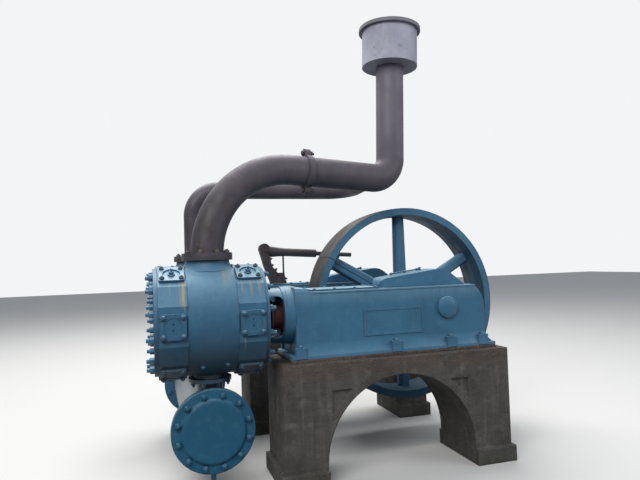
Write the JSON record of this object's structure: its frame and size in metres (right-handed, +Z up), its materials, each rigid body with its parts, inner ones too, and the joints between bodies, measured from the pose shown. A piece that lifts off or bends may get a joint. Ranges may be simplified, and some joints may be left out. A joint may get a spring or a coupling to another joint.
{
  "type": "horizontal duplex air compressor",
  "caption": "Belt-driven horizontal duplex air compressor on arched concrete blocks: crankcase frames, valved cylinders, belt wheel between them, suction pipes and stack-mounted air filter.",
  "frame": {"origin": "on the ground under the middle of the whole machine", "axes": "+Z up; +X from the cylinders to the crank end; +Y from the near line to the far line, along the crankshaft"},
  "size_m": [2.825, 1.974, 3.337],
  "materials": {
    "paint": "weathered satin blue paint",
    "pipe": "dark bituminous pipe paint",
    "concrete": "old board-marked concrete",
    "steel": "oiled bright steel",
    "oxide": "dark red primer",
    "filter": "faded grey sheet metal"
  },
  "bodies": {
    "machine": {"near_foundation": "concrete", "far_foundation": "concrete", "near_grout": "concrete", "far_grout": "concrete", "near_frame": "paint", "far_frame": "paint", "near_cover_plate": "paint", "far_cover_plate": "paint", "near_crank_hood": "paint", "far_crank_hood": "paint", "near_main_bearing": "paint", "far_main_bearing": "paint", "near_distance_piece": "paint", "far_distance_piece": "paint", "near_rod_gland": "oxide", "far_rod_gland": "oxide", "near_piston_rod": "steel", "far_piston_rod": "steel", "near_cylinder": "paint", "far_cylinder": "paint", "near_outer_head": "paint", "far_outer_head": "paint", "near_valve_covers": "paint", "far_valve_covers": "paint", "drum_shell": "paint", "drum_near_cover": "paint", "drum_far_cover": "paint", "drum_drain": "paint", "suction_bend": "pipe", "suction_run": "pipe", "stack_elbow": "pipe", "stack_pipe": "pipe", "far_suction_bend": "pipe", "far_suction_run": "pipe", "filter_body": "filter", "filter_lid": "filter", "regulator_body": "pipe", "regulator_cap": "pipe", "regulator_tube": "pipe", "regulator_spindle": "steel"},
    "wheel": {"crankshaft": "steel", "wheel_rim_upper": "paint", "wheel_rim_lower": "paint", "wheel_arms_upper": "paint", "wheel_arms_lower": "paint"}
  },
  "joints": [
    {"name": "wheel_spin", "type": "hinge", "parent": "machine", "child": "wheel", "pos_m": [0.6225, 0, 1.105], "axis": [0, 1, 0], "continuous": true}
  ]
}
